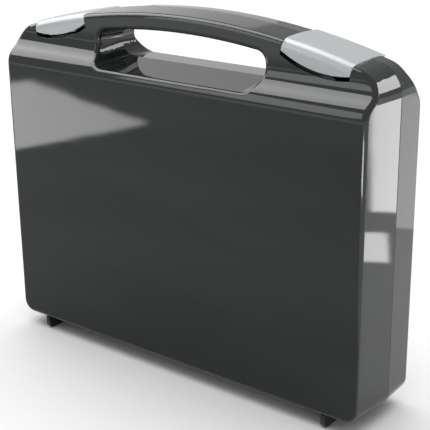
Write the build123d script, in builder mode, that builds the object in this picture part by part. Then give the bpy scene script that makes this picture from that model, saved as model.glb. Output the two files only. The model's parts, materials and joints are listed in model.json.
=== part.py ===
from build123d import *
from math import cos, radians, sin, sqrt, tan
import os

# Hard-shell tool case with a moulded carrying handle, two lever latches and a lift-out tray.
# Frame: X across the width, -Y the deep (base) side, +Y the lid side, Z up.
# The origin is on the surface the case stands on, under the middle of its outline.

# ---- driving dimensions, mm ----
WIDTH = 380.0  # across the parting plane
SHELL_HEIGHT = 305.0  # underside of the shells to the crown of the handle
BASE_DEPTH = 46.0  # parting plane to the big face of the base
LID_DEPTH = 35.0  # parting plane to the big face of the lid
FOOT_HEIGHT = 9.5  # the moulded rib feet under the shells
WALL = 2.5
DRAFT = {-1: 3.5, 1: 2.5}  # degrees, for the base and the lid, so that each leaves its mould
CROWN_RADIUS = 635.0  # the long arc over the handle and latches
BOTTOM_CORNER = 14.0
TOP_CORNER = 25.0
EDGE_RADIUS = 4.0  # around each big face, up the shoulder and over the neck
PARTING_CHAMFER = 0.4
BEYOND = 10.0  # how far a cutting section runs past the shells
TOUCH = 1.0  # edges this near to a plane count as on it
ALONG_Y = 0.9  # an edge whose direction has more Y than this runs from front to back

# shoulder: where the full depth steps in to the slim neck that carries the handle
SHOULDER_HEIGHT = {-1: 245.5, 1: 243.6}  # where the big face of the base and of the lid ends
SHOULDER_RADIUS = {-1: 16.0, 1: 16.0}
NECK_RADIUS = {-1: 16.0, 1: 8.0}
BASE_NECK = 29.5  # parting plane to the front of the neck
LID_NECK = 17.5  # parting plane to the back of the neck
BASE_SLOPE = 35.0  # degrees above level
LID_SLOPE = 52.0

# handle opening through the neck, at the parting plane
GRIP_HALF = 86.0
GRIP_FLOOR = 258.0
GRIP_CROWN = 288.2
GRIP_LOWER_CORNER = 14.0
GRIP_UPPER_CORNER = 9.5
GRIP_EDGE = {-1: 3.6, 1: 2.2}
BASE_FLOOR_DROP = 5.0  # the floor of the opening falls away towards the big faces
LID_FLOOR_DROP = 1.6
GRIP_FLARE = 1.6
GRIP_MARGIN = 8.0  # band around the opening in which its edges are looked for

# interlocking lip between the shells
LIP_HEIGHT = 2.0
LIP_INSET = 1.4
LIP_GAP = 0.3

# latches
LATCH_CENTRE = 134.7
LATCH_HALF = 31.0
LATCH_WALL = 2.8
LATCH_DEPTH = 15.5  # skirt at its middle, below the top of the neck
LATCH_END_DEPTH = 10.0  # skirt at its ends
LATCH_GAP = 0.4
FINGER_GAP = 3.5
HOUSING_WALL = 3.2
LATCH_PIN_RADIUS = 1.25
BARREL_RADIUS = 5.1
BARREL_BACK = 11.8  # parting plane to the latch pin
BARREL_DROP = 6.6
BARREL_CLEAR = 7.0
LATCH_PROUD = 0.3
LATCH_FLOOR_GAP = 1.4
KEEPER = (36.0, 2.4, 1.6)  # ridge on the floor of the pocket, under the latch hook
HOOK = (32.0, 1.6, 1.4)
KEEPER_BACK = 5.0  # front of the neck to the front of the ridge
HOOK_RISE = 0.5  # lower edge of the skirt to the hook
LATCH_RIB = 1.6
LATCH_RIB_BACK = 1.5  # parting plane to the end of the ribs under the plate
LATCH_FRONT_FALL = 0.6  # the plate is crowned from front to back
LATCH_BACK_FALL = 0.2
LATCH_RISE = 0.9
LATCH_FRONT_RADIUS = 8.0
LATCH_BACK_RADIUS = 4.0
LATCH_HEADROOM = 14.0  # height of its cutting outline above the crown
LATCH_REACH = 40.0  # half the depth of that outline, past both faces of the neck
LATCH_ARC = 30.0  # degrees of the crown that its sweep takes in
RUNNING = 0.05  # radial clearance of a turning pin
PRESS = 0.01
PIN_CHAMFER = 0.3

# hinges: one base rib between two lid ribs on each side, on a steel pin
HINGE_CENTRE = 156.5
RIB = 4.0
RIB_GAP = 0.3
KNUCKLE_RADIUS = 4.0
HINGE_PIN_RADIUS = 1.5
RIB_CORNER = 5.0
BASE_RIB_REACH = 44.5
LID_RIB_REACH = 33.5

# tray and its dividers
TRAY_WIDTH = 362.0
TRAY_HEIGHT = 237.0
TRAY_DEPTH = 22.0
TRAY_BOTTOM = 8.0  # above the underside of the shells
TRAY_TOP_GAP = 1.0  # rim below the parting plane
TRAY_WALL = 1.8
TRAY_CORNER = 12.0
TRAY_DRAFT = 3.0
TRAY_RIM = 3.0
FINGER_NOTCH = 34.0
NOTCH_DEPTH = 9.0
NOTCH_HEIGHT = 80.0
DIVIDER = 1.6
DIVIDER_TALL = 17.5
DIVIDER_GAP = 0.2
GUIDE = 1.2  # thickness of the paired ribs that hold a divider
GUIDE_REACH = 3.0
LONG_DIVIDER_HEIGHT = 150.0
BIN_PITCH = 89.0
LOWER_DIVIDER_X = 60.0
POST_RADIUS = 6.0  # hollow posts on the base that the tray rests on
POST_WALL = 2.0
POST_INSET = 16.0
WALL_OVERLAP = 1.2  # how far a guide rib is buried in the tray wall

SEAM_Y = (BASE_DEPTH - LID_DEPTH) / 2
CROWN_CENTRE = SHELL_HEIGHT - CROWN_RADIUS
SEAM_POINT = (0, SEAM_Y, FOOT_HEIGHT)
BASE_PLANE = Plane(origin=SEAM_POINT, x_dir=(1, 0, 0), z_dir=(0, -1, 0))
LID_PLANE = Plane(origin=SEAM_POINT, x_dir=(-1, 0, 0), z_dir=(0, 1, 0))
HINGE_Z = KNUCKLE_RADIUS


def crown_height(x, inset=0.0):
    """Height of the crown arc above the underside of the shells."""
    return CROWN_CENTRE + sqrt((CROWN_RADIUS - inset) ** 2 - x**2)


LATCH_TILT = LATCH_CENTRE / CROWN_RADIUS


def outline(plane, inset):
    """Outline of the case, seen from its big face, moved inwards by inset."""
    half = WIDTH / 2 - inset
    side = crown_height(half, inset)
    with BuildSketch(plane) as sketch:
        with BuildLine():
            Line((-half, inset), (half, inset))
            Line((half, inset), (half, side))
            ThreePointArc((half, side), (0, SHELL_HEIGHT - inset), (-half, side))
            Line((-half, side), (-half, inset))
        make_face()
        fillet(sketch.vertices().group_by(Axis.Y)[0], BOTTOM_CORNER - inset)
        fillet(sketch.vertices().group_by(Axis.Y)[-1], TOP_CORNER - inset)
    return sketch.sketch


def shoulder(side, depth, neck, slope, inset):
    """Section of one shell across its width: big face, shoulder, slope and neck."""

    def at(out, up):
        return (SEAM_Y + side * out, FOOT_HEIGHT + up)

    def on_arc(centre, radius, angle):
        return at(centre[0] + radius * cos(radians(angle)), centre[1] + radius * sin(radians(angle)))

    turn = 90.0 - slope
    radius = SHOULDER_RADIUS[side]
    neck_radius = NECK_RADIUS[side]
    convex = (depth - radius, SHOULDER_HEIGHT[side])
    slope_out = convex[0] + radius * cos(radians(turn))
    slope_up = convex[1] + radius * sin(radians(turn))
    neck_out = neck + neck_radius - neck_radius * cos(radians(turn))
    neck_up = slope_up + (slope_out - neck_out) * tan(radians(slope))
    concave = (neck + neck_radius, neck_up + neck_radius * sin(radians(turn)))
    outer = radius - inset
    inner = neck_radius + inset
    top = SHELL_HEIGHT + BEYOND
    with BuildSketch(Plane.YZ.offset(-WIDTH)) as sketch:
        with BuildLine():
            Line(at(0, -BEYOND), at(depth - inset, -BEYOND))
            Line(at(depth - inset, -BEYOND), at(depth - inset, convex[1]))
            ThreePointArc(
                on_arc(convex, outer, 0),
                on_arc(convex, outer, turn / 2),
                on_arc(convex, outer, turn),
            )
            Line(on_arc(convex, outer, turn), on_arc(concave, inner, 180 + turn))
            ThreePointArc(
                on_arc(concave, inner, 180 + turn),
                on_arc(concave, inner, 180 + turn / 2),
                on_arc(concave, inner, 180),
            )
            Line(at(neck - inset, concave[1]), at(neck - inset, top))
            Line(at(neck - inset, top), at(0, top))
            Line(at(0, top), at(0, -BEYOND))
        make_face()
    return sketch.sketch


def rim_edges(part):
    """Edges between the drafted sides of a half body and the faces of its section."""

    def on_rim(edge):
        middle = edge @ 0.5
        up = middle.Z - FOOT_HEIGHT
        on_parting = abs(middle.Y - SEAM_Y) < TOUCH
        across_faces = abs(middle.X) < TOUCH and SHOULDER_HEIGHT[1] - TOUCH < up < GRIP_CROWN
        return not on_parting and not across_faces and abs((edge % 0.5).Y) < ALONG_Y

    return part.edges().filter_by(on_rim)


def half_body(plane, side, depth, neck, slope, inset, grooved):
    """One drafted half of the case as a solid, from the parting plane to its big face."""
    start = PARTING_CHAMFER if grooved else 0.0
    reach = depth - inset
    big_face = outline(plane.offset(reach), inset + (reach - start) * tan(radians(DRAFT[side])))
    with BuildPart() as body:
        loft([outline(plane.offset(start), inset), big_face])
        if grooved:
            loft([outline(plane, inset + PARTING_CHAMFER), outline(plane.offset(start), inset)])
        extrude(shoulder(side, depth, neck, slope, inset), amount=2 * WIDTH, mode=Mode.INTERSECT)
        fillet(rim_edges(body), EDGE_RADIUS - inset)
    return body.part


def grip_opening(plane, grow, drop, flare):
    """Outline of the handle opening, its top following the crown of the case."""
    half = GRIP_HALF + grow + flare
    floor = GRIP_FLOOR - grow - drop
    radius = GRIP_CROWN + grow + flare - CROWN_CENTRE
    side = CROWN_CENTRE + sqrt(radius**2 - half**2)
    with BuildSketch(plane) as sketch:
        with BuildLine():
            Line((-half, floor), (half, floor))
            Line((half, floor), (half, side))
            ThreePointArc((half, side), (0, CROWN_CENTRE + radius), (-half, side))
            Line((-half, side), (-half, floor))
        make_face()
        fillet(sketch.vertices().group_by(Axis.Y)[0], GRIP_LOWER_CORNER + grow)
        fillet(sketch.vertices().group_by(Axis.Y)[-1], GRIP_UPPER_CORNER + grow)
    return sketch.sketch


def grip_tunnel(plane, depth, drop, grow):
    """The handle opening through one shell, wider at the big face than at the parting plane."""
    with BuildPart() as tunnel:
        loft([grip_opening(plane, grow, 0, 0), grip_opening(plane.offset(depth), grow, drop, GRIP_FLARE)])
    return tunnel.part


def latch_plane(sign):
    """Parting plane at one latch: x along the latch, y square to the crown, z towards the base."""
    origin = (sign * LATCH_CENTRE, SEAM_Y, FOOT_HEIGHT + crown_height(LATCH_CENTRE))
    return Plane(origin=origin, x_dir=(cos(LATCH_TILT), 0, -sign * sin(LATCH_TILT)), z_dir=(0, -1, 0))


def skirt_outline(plane, grow, lower):
    """Front view of a latch: square ends and a lens-shaped lower edge."""
    half = LATCH_HALF + grow
    end = LATCH_END_DEPTH + lower
    above = LATCH_HEADROOM
    with BuildSketch(plane) as sketch:
        with BuildLine():
            ThreePointArc((-half, -end), (0, -LATCH_DEPTH - lower), (half, -end))
            Line((half, -end), (half, above))
            Line((half, above), (-half, above))
            Line((-half, above), (-half, -end))
        make_face()
    return sketch.sketch


def barrel(sign, radius, half_length):
    """A cylinder on the axis of one latch pin."""
    plane = latch_plane(sign)
    start = plane.from_local_coords((-half_length, -BARREL_DROP, -BARREL_BACK))
    with BuildPart() as cylinder:
        with BuildSketch(Plane(origin=start, x_dir=(0, 1, 0), z_dir=plane.x_dir)):
            Circle(radius)
        extrude(amount=2 * half_length)
    return cylinder.part


def section(plane, inset):
    """Cross-section of the hollow at the parting plane, its walls inset thick."""
    with BuildSketch() as sketch:
        add(outline(Plane.XY, inset))
        add(grip_opening(Plane.XY, inset, 0, 0), mode=Mode.SUBTRACT)
        for sign in (-1, 1):
            centre = (sign * LATCH_CENTRE, crown_height(LATCH_CENTRE))
            tilted = Plane(origin=centre, x_dir=(cos(LATCH_TILT), -sign * sin(LATCH_TILT)))
            add(skirt_outline(tilted, LATCH_GAP + inset, FINGER_GAP + inset), mode=Mode.SUBTRACT)
    return plane * sketch.sketch


def hollow(plane, side, depth, neck, slope, drop, end_wall):
    """Inside of one shell: the half body inset by the wall, clear of the grip and latch pockets."""
    with BuildPart() as inside:
        add(half_body(plane, side, depth, neck, slope, WALL, False))
        add(grip_tunnel(plane, depth, drop, WALL), mode=Mode.SUBTRACT)
        for sign in (-1, 1):
            pocket = skirt_outline(latch_plane(sign), LATCH_GAP + end_wall, FINGER_GAP + WALL)
            extrude(pocket, amount=-side * depth, mode=Mode.SUBTRACT)
    return inside.part


def grip_edges(part):
    """Outer edges of the handle opening."""

    def around_grip(edge):
        middle = edge @ 0.5
        up = middle.Z - FOOT_HEIGHT
        outside = abs(middle.Y - SEAM_Y) > LID_NECK / 2
        in_height = GRIP_FLOOR - GRIP_MARGIN < up < GRIP_CROWN + GRIP_MARGIN
        in_width = abs(middle.X) < GRIP_HALF + GRIP_MARGIN
        return outside and in_width and in_height and abs((edge % 0.5).Y) < ALONG_Y

    return part.edges().filter_by(around_grip)


def shell_body(plane, side, depth, neck, slope, drop):
    """One shell with its handle opening, before it is hollowed."""
    with BuildPart() as body:
        add(half_body(plane, side, depth, neck, slope, 0.0, True))
        add(grip_tunnel(plane, depth, drop, 0.0), mode=Mode.SUBTRACT)
        fillet(grip_edges(body), GRIP_EDGE[side])
    return body.part


def rib(x, width, side, reach):
    """A rib foot under one shell, from its knuckle on the hinge pin to the big face."""
    with BuildPart() as foot:
        with BuildSketch(Plane.YZ.offset(x - width / 2)) as profile:
            with Locations((SEAM_Y, HINGE_Z)):
                Circle(KNUCKLE_RADIUS)
            near = SEAM_Y + side * RIB_GAP
            far = SEAM_Y + side * reach
            top = FOOT_HEIGHT + WALL
            with BuildLine():
                Polyline((near, 0), (far, 0), (far, top), (near, top), close=True)
            make_face()
            fillet(profile.vertices().sort_by_distance((far, 0))[0], RIB_CORNER)
        extrude(amount=width)
    return foot.part


def hinge_bore(x, radius, half_length):
    """A cylinder on the hinge axis."""
    with BuildPart() as bore:
        with BuildSketch(Plane.YZ.offset(x - half_length)):
            with Locations((SEAM_Y, HINGE_Z)):
                Circle(radius)
        extrude(amount=2 * half_length)
    return bore.part


def save(builder, name):
    builder.part.label = name
    export_step(builder.part, "parts/" + name + ".step")


def crown_sweep(sign, profile):
    """A YZ profile carried outwards along the crown arc of the case."""
    axis = Axis((0, 0, FOOT_HEIGHT + CROWN_CENTRE), (0, sign, 0))
    with BuildPart() as swept:
        revolve(profile, axis=axis, revolution_arc=LATCH_ARC)
    return swept.part


def latch_section():
    """Section of a latch: skirt at the front, crowned plate, short wall over the barrel."""
    front = SEAM_Y - BASE_NECK - LATCH_PROUD
    back = SEAM_Y + LID_NECK
    crown = FOOT_HEIGHT + SHELL_HEIGHT
    front_top = crown - LATCH_FRONT_FALL
    back_top = crown - LATCH_BACK_FALL
    skirt_end = crown - LATCH_DEPTH - FINGER_GAP
    back_end = crown - BARREL_DROP
    middle = ((front + back) / 2, crown + LATCH_RISE)
    with BuildSketch(Plane.YZ) as profile:
        with BuildLine():
            Line((front, skirt_end), (front, front_top))
            ThreePointArc((front, front_top), middle, (back, back_top))
            Line((back, back_top), (back, back_end))
            Line((back, back_end), (back - LATCH_WALL, back_end))
            Line((back - LATCH_WALL, back_end), (back - LATCH_WALL, back_top - LATCH_WALL))
            ThreePointArc(
                (back - LATCH_WALL, back_top - LATCH_WALL),
                (middle[0], middle[1] - LATCH_WALL),
                (front + LATCH_WALL, front_top - LATCH_WALL),
            )
            Line((front + LATCH_WALL, front_top - LATCH_WALL), (front + LATCH_WALL, skirt_end))
            Line((front + LATCH_WALL, skirt_end), (front, skirt_end))
        make_face()
        corners = profile.vertices()
        fillet(corners.sort_by_distance((front, front_top))[0], LATCH_FRONT_RADIUS)
        fillet(corners.sort_by_distance((back, back_top))[0], LATCH_BACK_RADIUS)
        inner_front = corners.sort_by_distance((front + LATCH_WALL, front_top - LATCH_WALL))[0]
        fillet(inner_front, LATCH_FRONT_RADIUS - LATCH_WALL)
        fillet(corners.sort_by_distance((back - LATCH_WALL, back_top - LATCH_WALL))[0], LATCH_WALL / 2)
    return profile.sketch


def plate_recess(sign):
    """Room in the lid for the plate of one latch, parallel to the crown."""
    crown = FOOT_HEIGHT + SHELL_HEIGHT
    floor = crown - LATCH_WALL - LATCH_FLOOR_GAP
    with BuildSketch(Plane.YZ) as profile:
        with BuildLine():
            Polyline(
                (SEAM_Y - TOUCH, floor),
                (SEAM_Y + LID_NECK + TOUCH, floor),
                (SEAM_Y + LID_NECK + TOUCH, crown + BEYOND),
                (SEAM_Y - TOUCH, crown + BEYOND),
                close=True,
            )
        make_face()
    with BuildPart() as recess:
        add(crown_sweep(sign, profile.sketch))
        cut = skirt_outline(latch_plane(sign).offset(-LATCH_REACH), LATCH_GAP, 0)
        extrude(cut, amount=2 * LATCH_REACH, mode=Mode.INTERSECT)
    return recess.part


def tray_outline(height, grow):
    """Rounded outline of the tray at a height above its own floor, moved outwards by grow."""
    flare = (height - TRAY_DEPTH) * tan(radians(TRAY_DRAFT)) + grow
    with BuildSketch(TRAY_PLANE.offset(height)) as sketch:
        RectangleRounded(TRAY_WIDTH + 2 * flare, TRAY_HEIGHT + 2 * flare, TRAY_CORNER + flare)
    return sketch.sketch


def box_between(plane, low, high):
    """A box between two corners given in the coordinates of a plane."""
    size = [top - bottom for bottom, top in zip(low, high)]
    centre = [(top + bottom) / 2 for bottom, top in zip(low, high)]
    with BuildPart() as block:
        with BuildSketch(plane.offset(low[2])):
            with Locations((centre[0], centre[1])):
                Rectangle(size[0], size[1])
        extrude(amount=size[2])
    return block.part


def guides(centre, reach, along_x):
    """Two ribs with a slot for the end of a divider between them, on the tray plane."""
    pitch = DIVIDER / 2 + DIVIDER_GAP + GUIDE / 2
    low_side, high_side = sorted(reach)
    with BuildPart() as pair:
        for offset in (-pitch, pitch):
            across = (centre + offset - GUIDE / 2, centre + offset + GUIDE / 2)
            spans = ((low_side, high_side), across) if along_x else (across, (low_side, high_side))
            low = (spans[0][0], spans[1][0], TRAY_WALL / 2)
            high = (spans[0][1], spans[1][1], TRAY_WALL + DIVIDER_TALL)
            add(box_between(TRAY_PLANE, low, high))
    return pair.part


TRAY_BACK = TRAY_TOP_GAP + TRAY_DEPTH
TRAY_CENTRE = (0, SEAM_Y - TRAY_BACK, FOOT_HEIGHT + TRAY_BOTTOM + TRAY_HEIGHT / 2)
TRAY_PLANE = Plane(origin=TRAY_CENTRE, x_dir=(-1, 0, 0), z_dir=(0, 1, 0))
SIDES = {"left": -1, "right": 1}
LID_RIB_OFFSET = RIB + RIB_GAP

os.makedirs("parts", exist_ok=True)

# ---- base shell: the deep half, with the latch pockets, tray posts and middle hinge ribs ----
base_outer = shell_body(BASE_PLANE, -1, BASE_DEPTH, BASE_NECK, BASE_SLOPE, BASE_FLOOR_DROP)
base_hollow = hollow(BASE_PLANE, -1, BASE_DEPTH, BASE_NECK, BASE_SLOPE, BASE_FLOOR_DROP, WALL)
post_height = BASE_DEPTH - WALL - TRAY_BACK - DIVIDER_GAP
post_columns = (-TRAY_WIDTH / 2 + POST_INSET, 0, TRAY_WIDTH / 2 - POST_INSET)
post_rows = (TRAY_BOTTOM + POST_INSET, TRAY_BOTTOM + TRAY_HEIGHT - POST_INSET)
with BuildPart() as base_shell:
    add(base_outer)
    add(base_hollow, mode=Mode.SUBTRACT)
    for sign in (-1, 1):
        pocket = skirt_outline(latch_plane(sign), LATCH_GAP, FINGER_GAP)
        extrude(pocket, amount=BASE_DEPTH, mode=Mode.SUBTRACT)
        floor = -LATCH_DEPTH - FINGER_GAP
        low = (-KEEPER[0] / 2, floor - WALL / 2, BASE_NECK - KEEPER_BACK)
        high = (KEEPER[0] / 2, floor + KEEPER[1], BASE_NECK - KEEPER_BACK + KEEPER[2])
        add(box_between(latch_plane(sign), low, high))
    lip = section(LID_PLANE, LIP_INSET) - section(LID_PLANE, WALL)
    extrude(lip, amount=LIP_HEIGHT)
    for sign in (-1, 1):
        add(rib(sign * HINGE_CENTRE, RIB, -1, BASE_RIB_REACH))
        add(hinge_bore(sign * HINGE_CENTRE, HINGE_PIN_RADIUS + PRESS, RIB), mode=Mode.SUBTRACT)
    with BuildSketch(BASE_PLANE.offset(BASE_DEPTH - WALL / 2)) as posts:
        for column in post_columns:
            for row in post_rows:
                with Locations((column, row)):
                    Circle(POST_RADIUS)
                    Circle(POST_RADIUS - POST_WALL, mode=Mode.SUBTRACT)
    extrude(amount=-(post_height + WALL / 2))
save(base_shell, "base_shell")

# ---- lid shell: the shallow half, with the latch housings and outer hinge ribs ----
lid_outer = shell_body(LID_PLANE, 1, LID_DEPTH, LID_NECK, LID_SLOPE, LID_FLOOR_DROP)
lid_hollow = hollow(LID_PLANE, 1, LID_DEPTH, LID_NECK, LID_SLOPE, LID_FLOOR_DROP, HOUSING_WALL)
with BuildPart() as lid_shell:
    add(lid_outer)
    add(lid_hollow, mode=Mode.SUBTRACT)
    for sign in (-1, 1):
        for offset in (-LID_RIB_OFFSET, LID_RIB_OFFSET):
            add(rib(sign * HINGE_CENTRE + offset, RIB, 1, LID_RIB_REACH))
        add(hinge_bore(sign * HINGE_CENTRE, HINGE_PIN_RADIUS + RUNNING, 2.5 * RIB), mode=Mode.SUBTRACT)
        add(plate_recess(sign), mode=Mode.SUBTRACT)
        add(barrel(sign, BARREL_CLEAR, LATCH_HALF + LATCH_GAP), mode=Mode.SUBTRACT)
        add(barrel(sign, LATCH_PIN_RADIUS + PRESS, LATCH_HALF + 2 * HOUSING_WALL), mode=Mode.SUBTRACT)
    extrude(section(LID_PLANE, LIP_INSET - LIP_GAP), amount=LIP_HEIGHT + LIP_GAP, mode=Mode.SUBTRACT)
save(lid_shell, "lid_shell")

# ---- hinge pins: pressed in the base ribs, running in the lid ribs ----
for side_name, sign in SIDES.items():
    with BuildPart() as hinge_pin:
        add(hinge_bore(sign * HINGE_CENTRE, HINGE_PIN_RADIUS, LID_RIB_OFFSET + RIB / 2))
        chamfer(hinge_pin.edges().filter_by(GeomType.CIRCLE), PIN_CHAMFER)
    save(hinge_pin, "hinge_pin_" + side_name)

# ---- latches and their pins ----
for side_name, sign in SIDES.items():
    plane = latch_plane(sign)
    with BuildPart() as latch:
        add(crown_sweep(sign, latch_section()))
        extrude(skirt_outline(plane.offset(-LATCH_REACH), 0, 0), amount=2 * LATCH_REACH, mode=Mode.INTERSECT)
        rib_depth = LATCH_END_DEPTH - TOUCH
        for place in ((LATCH_RIB - 2 * LATCH_HALF) / 2, 0, (2 * LATCH_HALF - LATCH_RIB) / 2):
            low = (place - LATCH_RIB / 2, -rib_depth, LATCH_RIB_BACK)
            high = (place + LATCH_RIB / 2, -LATCH_WALL, BASE_NECK - LATCH_WALL / 2)
            add(box_between(plane, low, high))
        reach = BASE_NECK - LATCH_WALL
        low = (-HOOK[0] / 2, -LATCH_DEPTH + HOOK_RISE, reach - HOOK[2])
        high = (HOOK[0] / 2, -LATCH_DEPTH + HOOK_RISE + HOOK[1], reach + LATCH_WALL / 2)
        add(box_between(plane, low, high))
        add(barrel(sign, BARREL_RADIUS, LATCH_HALF))
        add(barrel(sign, LATCH_PIN_RADIUS + RUNNING, LATCH_HALF + TOUCH), mode=Mode.SUBTRACT)
    save(latch, "latch_" + side_name)
    with BuildPart() as latch_pin:
        add(barrel(sign, LATCH_PIN_RADIUS, LATCH_HALF + LATCH_GAP + HOUSING_WALL))
        chamfer(latch_pin.edges().filter_by(GeomType.CIRCLE), PIN_CHAMFER)
    save(latch_pin, "latch_pin_" + side_name)

# ---- tray: drafted bin with a rim, finger notches and slots for its dividers ----
inner_x = TRAY_WIDTH / 2 - TRAY_WALL - TRAY_DEPTH * tan(radians(TRAY_DRAFT))
inner_y = TRAY_HEIGHT / 2 - TRAY_WALL - TRAY_DEPTH * tan(radians(TRAY_DRAFT))
long_y = LONG_DIVIDER_HEIGHT - TRAY_BOTTOM - TRAY_HEIGHT / 2
notch_y = NOTCH_HEIGHT - TRAY_BOTTOM - TRAY_HEIGHT / 2
bin_places = (-BIN_PITCH, 0, BIN_PITCH)
with BuildPart() as tray:
    loft([tray_outline(0, 0), tray_outline(TRAY_DEPTH, 0)])
    extrude(tray_outline(TRAY_DEPTH, TRAY_RIM), amount=-TRAY_WALL)
    loft([tray_outline(TRAY_WALL, -TRAY_WALL), tray_outline(TRAY_DEPTH, -TRAY_WALL)], mode=Mode.SUBTRACT)
    for sign in (-1, 1):
        inside, buried = sign * (inner_x - GUIDE_REACH), sign * (inner_x + WALL_OVERLAP)
        add(guides(long_y, (inside, buried), True))
    for place in bin_places:
        add(guides(place, (inner_y - GUIDE_REACH, inner_y + WALL_OVERLAP), False))
    add(guides(-LOWER_DIVIDER_X, (-inner_y - WALL_OVERLAP, -inner_y + GUIDE_REACH), False))
    with BuildSketch(Plane.YZ.offset(-TRAY_WIDTH)):
        with Locations((SEAM_Y - TRAY_TOP_GAP, FOOT_HEIGHT + NOTCH_HEIGHT)):
            RectangleRounded(2 * NOTCH_DEPTH, FINGER_NOTCH, NOTCH_DEPTH / 2)
    extrude(amount=2 * TRAY_WIDTH, mode=Mode.SUBTRACT)
save(tray, "tray")

# ---- removable dividers ----
half_long = inner_x - DIVIDER_GAP
tall = (TRAY_WALL + DIVIDER_GAP, TRAY_WALL + DIVIDER_TALL)
pitch = DIVIDER / 2 + DIVIDER_GAP + GUIDE / 2
face = DIVIDER / 2
with BuildPart() as long_divider:
    add(box_between(TRAY_PLANE, (-half_long, long_y - face, tall[0]), (half_long, long_y + face, tall[1])))
    for place, outward in [(bin_place, 1) for bin_place in bin_places] + [(-LOWER_DIVIDER_X, -1)]:
        for offset in (-pitch, pitch):
            ends = sorted((long_y, long_y + outward * (face + GUIDE_REACH / 2)))
            low = (place + offset - GUIDE / 2, ends[0], tall[0])
            high = (place + offset + GUIDE / 2, ends[1], tall[1])
            add(box_between(TRAY_PLANE, low, high))
save(long_divider, "tray_divider_long")

short_dividers = {
    "tray_divider_upper_left": (BIN_PITCH, long_y + face + DIVIDER_GAP, inner_y - DIVIDER_GAP),
    "tray_divider_upper_middle": (0, long_y + face + DIVIDER_GAP, inner_y - DIVIDER_GAP),
    "tray_divider_upper_right": (-BIN_PITCH, long_y + face + DIVIDER_GAP, inner_y - DIVIDER_GAP),
    "tray_divider_lower": (-LOWER_DIVIDER_X, -inner_y + DIVIDER_GAP, long_y - face - DIVIDER_GAP),
}
for name, (place, start, end) in short_dividers.items():
    with BuildPart() as divider:
        add(box_between(TRAY_PLANE, (place - face, start, tall[0]), (place + face, end, tall[1])))
    save(divider, name)
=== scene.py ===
import json
import math

import bpy
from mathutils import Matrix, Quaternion, Vector


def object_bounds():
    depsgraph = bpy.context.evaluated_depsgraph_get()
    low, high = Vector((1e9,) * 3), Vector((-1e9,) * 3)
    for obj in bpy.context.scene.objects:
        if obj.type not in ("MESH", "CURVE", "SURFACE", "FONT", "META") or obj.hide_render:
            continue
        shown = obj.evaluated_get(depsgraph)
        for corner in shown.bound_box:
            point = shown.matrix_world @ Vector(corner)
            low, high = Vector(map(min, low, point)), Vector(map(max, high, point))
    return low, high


# Looks of a hard-shell tool case: glossy charcoal shells, silver-grey latches, spark-textured tray.
# Everything is in metres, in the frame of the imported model.

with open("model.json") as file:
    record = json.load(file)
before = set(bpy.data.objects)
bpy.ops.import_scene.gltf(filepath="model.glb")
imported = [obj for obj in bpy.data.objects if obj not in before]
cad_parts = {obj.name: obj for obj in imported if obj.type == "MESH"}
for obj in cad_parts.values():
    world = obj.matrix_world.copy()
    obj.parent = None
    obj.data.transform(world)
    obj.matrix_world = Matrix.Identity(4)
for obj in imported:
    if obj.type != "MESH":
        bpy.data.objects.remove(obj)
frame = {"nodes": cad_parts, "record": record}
cad_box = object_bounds()
nodes = frame["nodes"]


# ---- materials ----

BEVEL_SAMPLES = 6


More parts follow.
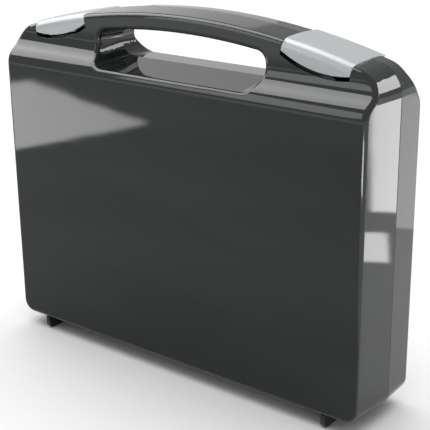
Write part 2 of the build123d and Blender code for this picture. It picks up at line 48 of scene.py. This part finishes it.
class Shader:
    """A Principled material with short ways to add procedural detail to it."""

    def __init__(self, name, color, roughness, **sockets):
        self.material = bpy.data.materials.new(name)
        self.material.use_nodes = True
        self.tree = self.material.node_tree
        self.principled = self.tree.nodes["Principled BSDF"]
        self.principled.inputs["Base Color"].default_value = (*color, 1)
        self.principled.inputs["Roughness"].default_value = roughness
        for socket, value in sockets.items():
            self.principled.inputs[socket].default_value = value
        self.place = self.tree.nodes.new("ShaderNodeTexCoord").outputs["Object"]
        self.normal = None

    def link(self, source, target):
        self.tree.links.new(source, target)

    def stretched(self, scale):
        """Object coordinates, scaled apart along each axis."""
        mapping = self.tree.nodes.new("ShaderNodeMapping")
        mapping.inputs["Scale"].default_value = scale
        self.link(self.place, mapping.inputs["Vector"])
        return mapping.outputs["Vector"]

    def noise(self, scale, detail, stretch=(1, 1, 1)):
        texture = self.tree.nodes.new("ShaderNodeTexNoise")
        texture.inputs["Scale"].default_value = scale
        texture.inputs["Detail"].default_value = detail
        self.link(self.stretched(stretch), texture.inputs["Vector"])
        return texture.outputs["Fac"]

    def cells(self, scale):
        texture = self.tree.nodes.new("ShaderNodeTexVoronoi")
        texture.inputs["Scale"].default_value = scale
        self.link(self.place, texture.inputs["Vector"])
        return texture.outputs["Distance"]

    def remap(self, value, low, high, to_low, to_high):
        node = self.tree.nodes.new("ShaderNodeMapRange")
        for socket, number in zip(("From Min", "From Max", "To Min", "To Max"), (low, high, to_low, to_high)):
            node.inputs[socket].default_value = number
        self.link(value, node.inputs["Value"])
        return node.outputs["Result"]

    def blend(self, fac, color_a, color_b):
        """Runs from one colour to the other as fac goes from 0 to 1."""
        node = self.tree.nodes.new("ShaderNodeMix")
        node.data_type = "RGBA"
        self.link(fac, node.inputs["Factor"])
        for socket, color in zip(("A", "B"), (color_a, color_b)):
            target = next(s for s in node.inputs if s.name == socket and s.type == "RGBA")
            target.default_value = (*color, 1)
        return next(s for s in node.outputs if s.type == "RGBA")

    def bump(self, height, distance, strength):
        """Adds one layer of relief; distance is its height in metres."""
        node = self.tree.nodes.new("ShaderNodeBump")
        node.inputs["Strength"].default_value = strength
        node.inputs["Distance"].default_value = distance
        self.link(height, node.inputs["Height"])
        if self.normal is not None:
            self.link(self.normal, node.inputs["Normal"])
        self.normal = node.outputs["Normal"]
        self.link(self.normal, self.principled.inputs["Normal"])

    def rounded(self, radius):
        """Softens every sharp edge by a radius, in the shading only."""
        node = self.tree.nodes.new("ShaderNodeBevel")
        node.samples = BEVEL_SAMPLES
        node.inputs["Radius"].default_value = radius
        self.normal = node.outputs["Normal"]
        self.link(self.normal, self.principled.inputs["Normal"])

    def color(self, output):
        self.link(output, self.principled.inputs["Base Color"])

    def roughness(self, output):
        self.link(output, self.principled.inputs["Roughness"])


def shell_plastic():
    """Glossy moulded charcoal plastic: slow flow marks, fine rub haze, barely wavy skin."""
    shader = Shader("shell_plastic", (0.018, 0.0205, 0.0215), 0.04, IOR=1.5)
    shader.rounded(0.0005)
    flow = shader.noise(9.0, 2.0, stretch=(0.5, 1.0, 2.2))
    shader.color(shader.blend(shader.remap(flow, 0.35, 0.65, 0, 1), (0.015, 0.017, 0.018), (0.021, 0.024, 0.025)))
    haze = shader.noise(60.0, 5.0, stretch=(0.35, 1.0, 1.6))
    shader.roughness(shader.remap(haze, 0.3, 0.75, 0.025, 0.06))
    shader.bump(shader.noise(14.0, 1.0), 0.0004, 0.3)
    shader.bump(shader.noise(1400.0, 2.0), 0.00001, 0.5)
    return shader.material


def latch_plastic():
    """Silver-grey satin plastic with a faint metallic fleck."""
    shader = Shader("latch_plastic", (0.46, 0.48, 0.49), 0.3, IOR=1.5, Metallic=0.15)
    shader.rounded(0.0002)
    fleck = shader.cells(2600.0)
    shader.color(shader.blend(shader.remap(fleck, 0.1, 0.6, 0, 1), (0.47, 0.49, 0.5), (0.445, 0.465, 0.475)))
    shader.roughness(shader.remap(shader.noise(140.0, 3.0), 0.3, 0.7, 0.27, 0.31))
    shader.bump(shader.noise(1300.0, 2.0), 0.000005, 0.3)
    return shader.material


def tray_plastic():
    """Mid-grey plastic with a spark-eroded grain and rub marks on its high parts."""
    shader = Shader("tray_plastic", (0.16, 0.17, 0.18), 0.55, IOR=1.48)
    shader.rounded(0.0004)
    grain = shader.cells(900.0)
    rub = shader.noise(26.0, 5.0, stretch=(0.4, 1.0, 1.0))
    shader.color(shader.blend(shader.remap(rub, 0.4, 0.7, 0, 1), (0.15, 0.16, 0.17), (0.19, 0.2, 0.21)))
    shader.roughness(shader.remap(rub, 0.35, 0.7, 0.58, 0.44))
    shader.bump(grain, 0.00006, 0.6)
    return shader.material


def divider_plastic():
    """Light-grey satin plastic with fine drag lines from the mould."""
    shader = Shader("divider_plastic", (0.42, 0.43, 0.44), 0.4, IOR=1.48)
    shader.rounded(0.0003)
    drag = shader.noise(260.0, 3.0, stretch=(1.0, 0.06, 1.0))
    shader.color(shader.blend(shader.remap(drag, 0.3, 0.7, 0, 1), (0.4, 0.41, 0.42), (0.45, 0.46, 0.47)))
    shader.roughness(shader.remap(drag, 0.3, 0.7, 0.34, 0.48))
    shader.bump(drag, 0.00003, 0.4)
    return shader.material


def pin_steel():
    """Drawn steel wire, with lines along the pin."""
    shader = Shader("pin_steel", (0.55, 0.56, 0.57), 0.28, Metallic=1.0)
    lines = shader.noise(1500.0, 2.0, stretch=(0.03, 1.0, 1.0))
    shader.color(shader.blend(shader.remap(lines, 0.3, 0.7, 0, 1), (0.5, 0.51, 0.52), (0.6, 0.61, 0.62)))
    shader.roughness(shader.remap(lines, 0.3, 0.7, 0.2, 0.38))
    shader.bump(lines, 0.00001, 0.5)
    return shader.material


finishes = {
    "shell": shell_plastic(),
    "latch": latch_plastic(),
    "tray": tray_plastic(),
    "divider": divider_plastic(),
    "pin": pin_steel(),
}
for part in frame["record"]["subparts"]:
    node = nodes[part["node"]]
    node.data.materials.clear()
    node.data.materials.append(finishes[part["material_slot"]])


# ---- stage: floor, lights and camera ----

low, high = cad_box
middle = (low + high) / 2
FLOOR_SIZE = 12.0
FLOOR_GAP = 0.0002  # how far the floor lies under the feet
CARD_LIFT = 0.001
PANEL_LIFT = 0.004


def pale_floor():
    """A wide sheet of white paper that the case stands on."""
    bpy.ops.mesh.primitive_plane_add(size=FLOOR_SIZE, location=(0, 0, low.z - FLOOR_GAP))
    floor = bpy.context.object
    floor.name = "floor"
    paper = Shader("floor_paper", (0.9, 0.9, 0.9), 0.8)
    fibres = paper.noise(300.0, 4.0)
    paper.color(paper.blend(fibres, (0.89, 0.89, 0.89), (0.91, 0.91, 0.91)))
    floor.data.materials.append(paper.material)


def gloss_panel(name, width, height, brightness):
    """A rectangular light seen only in the gloss, as bright as so many white walls."""
    light = bpy.data.lights.new(name, "AREA")
    light.shape = "RECTANGLE"
    light.size = width
    light.size_y = height
    light.energy = brightness * math.pi * width * height
    lamp = bpy.data.objects.new(name, light)
    lamp.visible_camera = False
    lamp.visible_diffuse = False
    bpy.context.scene.collection.objects.link(lamp)
    return lamp


def high_softbox(name, place, width, height, brightness):
    """A gloss panel up in the room, facing the middle of the case."""
    lamp = gloss_panel(name, width, height, brightness)
    lamp.location = place
    lamp.rotation_euler = (middle - Vector(place)).to_track_quat("-Z", "Y").to_euler()


def low_softbox(name, x, y, length, width, heading, brightness):
    """A gloss panel lying face up on the floor; heading is the way its length points, in degrees."""
    lamp = gloss_panel(name, length, width, brightness)
    lamp.location = (x, y, low.z + PANEL_LIFT)
    lamp.rotation_euler = (math.pi, 0, math.radians(heading))


def grey_card():
    """A grey card on the floor before the base shell, which keeps the big face dark in its gloss."""
    bpy.ops.mesh.primitive_plane_add(size=1.0, location=(-0.55, -0.62, low.z + CARD_LIFT))
    card = bpy.context.object
    card.name = "grey_card"
    card.scale = (1.8, 1.14, 1.0)
    felt = Shader("card_felt", (0.4, 0.4, 0.4), 0.9)
    card.data.materials.append(felt.material)
    card.visible_camera = False
    card.visible_diffuse = False
    card.visible_shadow = False


def white_room():
    """Even white light from all around."""
    world = bpy.data.worlds.new("white_room")
    world.use_nodes = True
    background = world.node_tree.nodes["Background"]
    background.inputs["Color"].default_value = (1, 1, 1, 1)
    background.inputs["Strength"].default_value = 0.52
    bpy.context.scene.world = world


def sky_light():
    """Broad light from straight above, which whitens the floor and leaves soft shadows."""
    light = bpy.data.lights.new("sky_light", "SUN")
    light.energy = 2.3
    light.angle = math.radians(80)
    lamp = bpy.data.objects.new("sky_light", light)
    lamp.rotation_euler = (math.radians(-6), math.radians(-10), 0)
    lamp.visible_glossy = False
    bpy.context.scene.collection.objects.link(lamp)


def studio_camera():
    """The camera looks at the case from the base side and its right, a little from above."""
    azimuth = math.radians(38.26)
    elevation = math.radians(19.49)
    roll = math.radians(-0.62)
    distance = 0.9508
    target = Vector((0.0146, 0.0055, 0.1388))
    away = Vector(
        (
            math.sin(azimuth) * math.cos(elevation),
            -math.cos(azimuth) * math.cos(elevation),
            math.sin(elevation),
        )
    )
    camera = bpy.data.cameras.new("camera")
    camera.sensor_width = 36.0
    camera.lens = 92.2
    seat = bpy.data.objects.new("camera", camera)
    seat.location = target + away * distance
    level = (-away).to_track_quat("-Z", "Y")
    seat.rotation_euler = (level @ Quaternion((0, 0, 1), roll)).to_euler()
    bpy.context.scene.collection.objects.link(seat)
    bpy.context.scene.camera = seat


pale_floor()
white_room()
sky_light()

# Each panel stands for one bright shape in the gloss of the real case.
high_softbox("shoulder_light", (-0.78, -0.1, 1.3), 1.1, 1.7, 4.5)
high_softbox("corner_light", (0.89, 0.9, 0.68), 0.6, 0.5, 6.5)
high_softbox("crown_light", (-1.1, 1.05, 0.62), 0.9, 0.7, 0.35)
high_softbox("slope_light", (-0.83, -1.25, 0.85), 0.55, 0.85, 2.2)
low_softbox("wedge_light", -0.82, -0.58, 0.42, 0.3, 196, 4.6)
low_softbox("window_light", 0.653, 0.682, 0.642, 0.114, 52.8, 6.0)
low_softbox("window_light_low", 0.43, 0.297, 0.09, 0.04, 52.8, 5.2)
low_softbox("lid_light", 0.49, 0.74, 0.7, 0.22, 64, 1.2)
low_softbox("edge_light", 0.62, -0.62, 0.34, 0.26, 45, 11.0)
grey_card()
studio_camera()
bpy.context.scene.view_settings.view_transform = "Standard"
